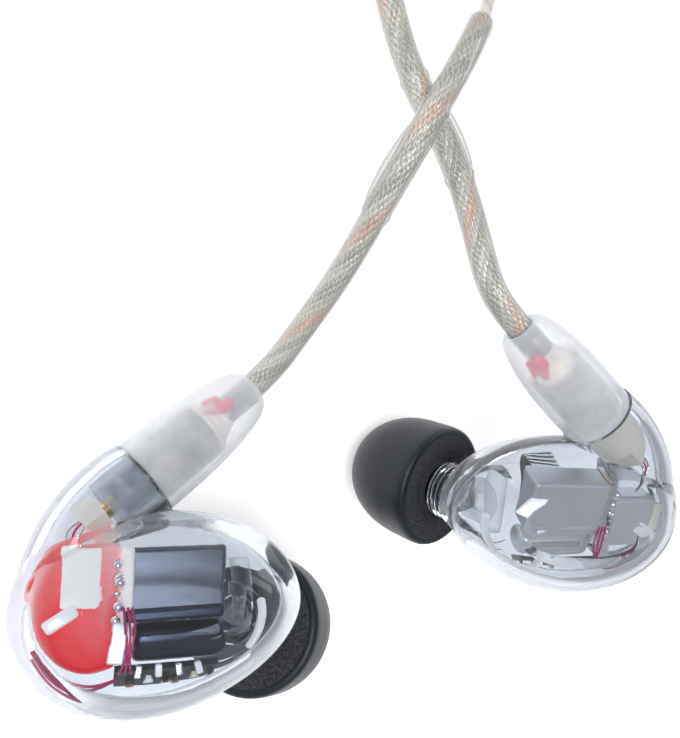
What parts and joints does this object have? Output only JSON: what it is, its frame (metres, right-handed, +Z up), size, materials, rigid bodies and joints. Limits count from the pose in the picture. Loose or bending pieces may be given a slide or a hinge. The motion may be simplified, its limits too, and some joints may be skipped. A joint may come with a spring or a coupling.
{
  "type": "in-ear monitors",
  "caption": "Pair of clear-shell in-ear monitors with foam tips, inner drivers, swivelling detachable cables, formed ear hooks and a coiled lead to a 3.5 mm plug.",
  "frame": {"origin": "on the table that the pair lies on, at the middle of the two earpieces and their boots", "axes": "+Z up, +Y towards the cables, +X from the right earpiece to the left one"},
  "size_m": [0.0802, 0.115, 0.032],
  "materials": {
    "clear_shell": "polished clear moulding",
    "clear_nozzle": "polished clear moulding",
    "damper_foam": "fine mesh",
    "tip_core_rubber": "matt",
    "foam": "soft foam with a satin skin",
    "red_cradle": "translucent red",
    "clear_cradle": "clear moulding",
    "driver_steel": "satin",
    "driver_dark_steel": "satin",
    "plate_steel": "etched",
    "board_black": "solder mask",
    "component_ceramic": "ceramic",
    "magenta_lead": "enamel",
    "clear_tube": "clear tube",
    "connector_metal": "plated satin",
    "contact_gold": "gold plated",
    "cream_insulator": "moulded",
    "milky_boot": "milky translucent",
    "clear_sleeve": "clear sleeve over twisted strands",
    "branch_jacket": "clear jacket over strands",
    "lead_jacket": "clear jacket over strands",
    "smoke_moulding": "smoked moulding",
    "tie_strap": "woven strap",
    "insulator_black": "moulded"
  },
  "bodies": {
    "root": {"branch_coil": "branch_jacket", "branch_tails": "branch_jacket", "coil_tie": "tie_strap", "lead_cable": "lead_jacket", "lead_coil": "lead_jacket", "left_boot": "milky_boot", "left_branch_cable": "branch_jacket", "left_hook_cable": "clear_sleeve", "left_plug_pin": "contact_gold", "left_plug_sleeve": "connector_metal", "plug_contacts": "contact_gold", "plug_handle": "smoke_moulding", "plug_insulators": "insulator_black", "right_boot": "milky_boot", "right_branch_cable": "branch_jacket", "right_hook_cable": "clear_sleeve", "right_plug_pin": "contact_gold", "right_plug_sleeve": "connector_metal", "y_splitter": "smoke_moulding"},
    "right_swivel": {"right_lock_ring": "connector_metal"},
    "right_earpiece": {"right_board_components": "component_ceramic", "right_crossover_board": "board_black", "right_damper": "damper_foam", "right_driver_cradle": "red_cradle", "right_driver_leads": "magenta_lead", "right_filter_plates": "plate_steel", "right_high_driver": "driver_dark_steel", "right_inner_shell": "clear_shell", "right_low_driver": "driver_steel", "right_mid_driver": "driver_dark_steel", "right_nozzle": "clear_nozzle", "right_nozzle_collar": "clear_nozzle", "right_outer_shell": "clear_shell", "right_socket_barrel": "connector_metal", "right_socket_contact": "contact_gold", "right_socket_insulator": "cream_insulator", "right_sound_tube": "clear_tube"},
    "right_tip": {"right_foam_tip": "foam", "right_tip_core": "tip_core_rubber"},
    "left_swivel": {"left_lock_ring": "connector_metal"},
    "left_earpiece": {"left_board_components": "component_ceramic", "left_crossover_board": "board_black", "left_damper": "damper_foam", "left_driver_cradle": "clear_cradle", "left_driver_leads": "magenta_lead", "left_filter_plates": "plate_steel", "left_high_driver": "driver_steel", "left_inner_shell": "clear_shell", "left_low_driver": "driver_steel", "left_mid_driver": "driver_steel", "left_nozzle": "clear_nozzle", "left_nozzle_collar": "clear_nozzle", "left_outer_shell": "clear_shell", "left_socket_barrel": "connector_metal", "left_socket_contact": "contact_gold", "left_socket_insulator": "cream_insulator", "left_sound_tube": "clear_tube"},
    "left_tip": {"left_foam_tip": "foam", "left_tip_core": "tip_core_rubber"},
    "slider": {"chin_slider": "smoke_moulding"}
  },
  "joints": [
    {"name": "right_cable_swivel", "type": "hinge", "parent": "root", "child": "right_swivel", "pos_m": [-0.01735, 0.00183, 0.00555], "axis": [0.793, 0.6035, -0.0833], "continuous": true},
    {"name": "right_unplug", "type": "slide", "parent": "right_swivel", "child": "right_earpiece", "axis": [-0.793, -0.6035, 0.0833], "range_m": [0, 0.008]},
    {"name": "right_tip_removal", "type": "slide", "parent": "right_earpiece", "child": "right_tip", "axis": [0.7752, -0.5067, -0.3772], "range_m": [0, 0.012]},
    {"name": "left_cable_swivel", "type": "hinge", "parent": "root", "child": "left_swivel", "pos_m": [0.01844, 0.01336, 0.02385], "axis": [-0.7364, 0.5502, -0.3937], "continuous": true},
    {"name": "left_unplug", "type": "slide", "parent": "left_swivel", "child": "left_earpiece", "axis": [0.7364, -0.5502, 0.3937], "range_m": [0, 0.008]},
    {"name": "left_tip_removal", "type": "slide", "parent": "left_earpiece", "child": "left_tip", "axis": [-0.0398, -0.1422, -0.989], "range_m": [0, 0.012]},
    {"name": "chin_slider_slide", "type": "slide", "parent": "root", "child": "slider", "axis": [0.867, 0.4983, 0], "range_m": [0, 0.0045]}
  ]
}
